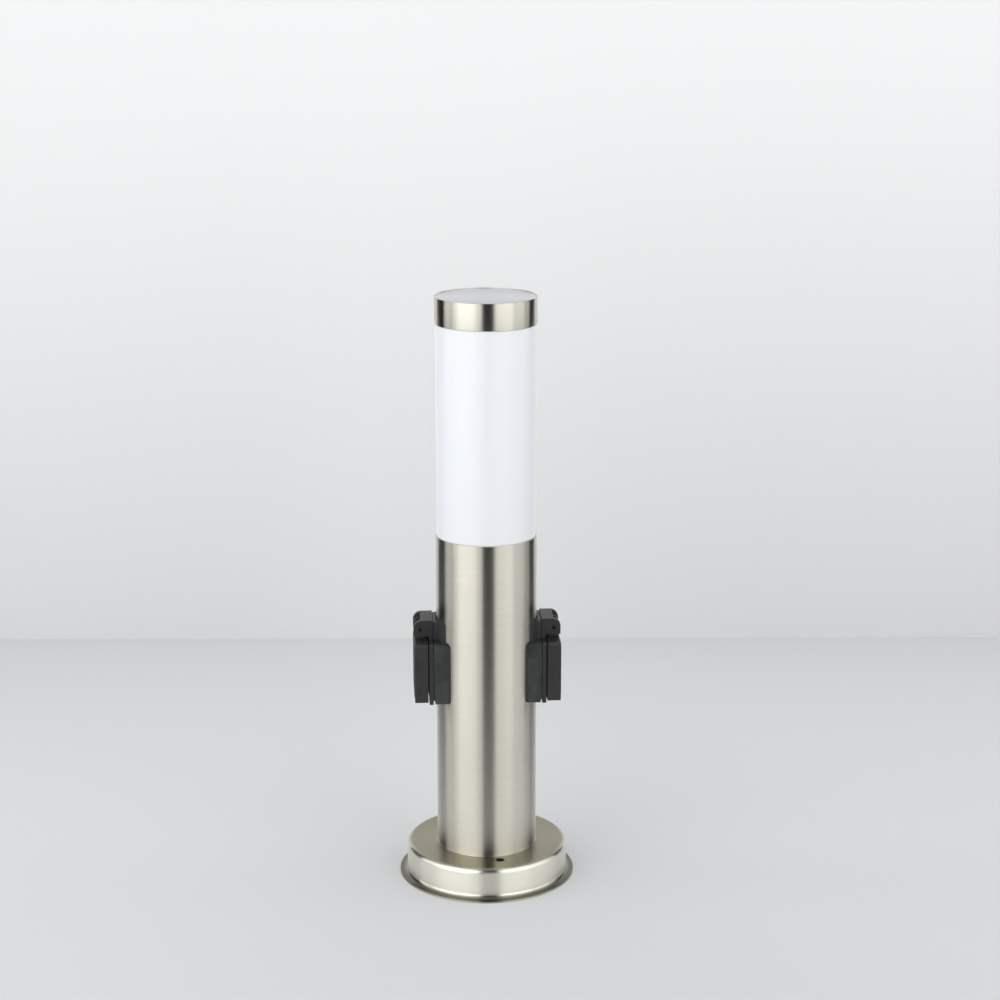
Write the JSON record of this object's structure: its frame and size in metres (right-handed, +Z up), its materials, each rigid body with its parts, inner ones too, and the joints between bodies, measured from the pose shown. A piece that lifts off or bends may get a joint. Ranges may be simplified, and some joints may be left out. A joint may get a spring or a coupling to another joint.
{
  "type": "bollard light",
  "caption": "Steel garden bollard light with an opal diffuser under a flat cap, a round screw-down foot, and a lidded power outlet on each side of the post.",
  "frame": {"origin": "middle of the foot flange, on the ground", "axes": "+Z up the post, +X out of the right outlet, -X out of the left outlet"},
  "size_m": [0.1346, 0.1346, 0.45],
  "materials": {
    "brushed_stainless": "brushed stainless steel, satin",
    "zinc_steel": "zinc plated steel",
    "hinge_steel": "dull stainless steel",
    "black_rubber": "matt black rubber",
    "clear_silicone": "milky silicone",
    "block_plastic": "natural nylon",
    "brass": "plain brass",
    "tinned_copper": "tinned",
    "nickel_strip": "nickel plated spring strip",
    "porcelain": "glazed white porcelain",
    "opal_plastic": "opal white, satin gloss",
    "lamp_opal": "opal white",
    "lamp_white": "white housing",
    "lamp_cap_metal": "nickel plated",
    "lamp_dark_glass": "black insulating ring",
    "lamp_board": "white coated aluminium board",
    "saddle_plastic": "dark grey, fine grain",
    "black_plastic": "black, fine grain",
    "wire_brown": "brown sleeve",
    "wire_blue": "blue sleeve",
    "wire_green_yellow": "green and yellow sleeve"
  },
  "bodies": {
    "post": {"base_cover": "brushed_stainless", "post_tube": "brushed_stainless", "base_plate": "zinc_steel", "terminal_bracket": "zinc_steel", "bracket_screws": "zinc_steel", "holder_plate": "zinc_steel", "lamp_holder_screws": "zinc_steel", "earth_screw": "zinc_steel", "right_backing_plate": "zinc_steel", "left_backing_plate": "zinc_steel", "terminal_screws": "zinc_steel", "right_frame_screws": "zinc_steel", "left_frame_screws": "zinc_steel", "right_hinge_pin": "hinge_steel", "left_hinge_pin": "hinge_steel", "right_lid_spring": "hinge_steel", "left_lid_spring": "hinge_steel", "cable_grommet": "black_rubber", "right_saddle_gasket": "black_rubber", "left_saddle_gasket": "black_rubber", "right_frame_gasket": "black_rubber", "left_frame_gasket": "black_rubber", "terminal_block": "block_plastic", "terminal_contacts": "brass", "lamp_holder_shell": "brass", "lamp_holder_contact": "brass", "right_socket_contacts": "brass", "left_socket_contacts": "brass", "earth_lug": "tinned_copper", "right_earth_clips": "nickel_strip", "left_earth_clips": "nickel_strip", "lamp_holder": "porcelain", "right_saddle": "saddle_plastic", "left_saddle": "saddle_plastic", "right_socket_frame": "black_plastic", "left_socket_frame": "black_plastic", "right_socket_insert": "black_plastic", "left_socket_insert": "black_plastic", "wires_live": "wire_brown", "wires_neutral": "wire_blue", "wires_earth": "wire_green_yellow"},
    "right_lid": {"right_lid": "black_plastic", "right_lid_seal": "black_rubber"},
    "left_lid": {"left_lid": "black_plastic", "left_lid_seal": "black_rubber"},
    "head": {"diffuser": "opal_plastic", "seat_seal": "black_rubber", "cap_seal": "clear_silicone", "cap_ring": "brushed_stainless", "cap_disc": "brushed_stainless"},
    "lamp": {"bulb_screw_cap": "lamp_cap_metal", "bulb_insulator": "lamp_dark_glass", "bulb_tip_contact": "brass", "bulb_collar": "lamp_white", "bulb_led_board": "lamp_board", "bulb_envelope": "lamp_opal"}
  },
  "joints": [
    {"name": "right_lid_hinge", "type": "hinge", "parent": "post", "child": "right_lid", "pos_m": [0.0504, 0, 0.199], "axis": [0, -1, 0], "range_deg": [0, 110], "stiffness_Nm_per_rad": 0.02, "springref_deg": -45.84},
    {"name": "left_lid_hinge", "type": "hinge", "parent": "post", "child": "left_lid", "pos_m": [-0.0504, 0, 0.199], "axis": [0, 1, 0], "range_deg": [0, 110], "stiffness_Nm_per_rad": 0.02, "springref_deg": -45.84},
    {"name": "head_lift", "type": "slide", "parent": "post", "child": "head", "axis": [0, 0, 1], "range_m": [0, 0.17]},
    {"name": "lamp_removal", "type": "slide", "parent": "post", "child": "lamp", "axis": [0, 0, 1], "range_m": [0, 0.03]}
  ]
}
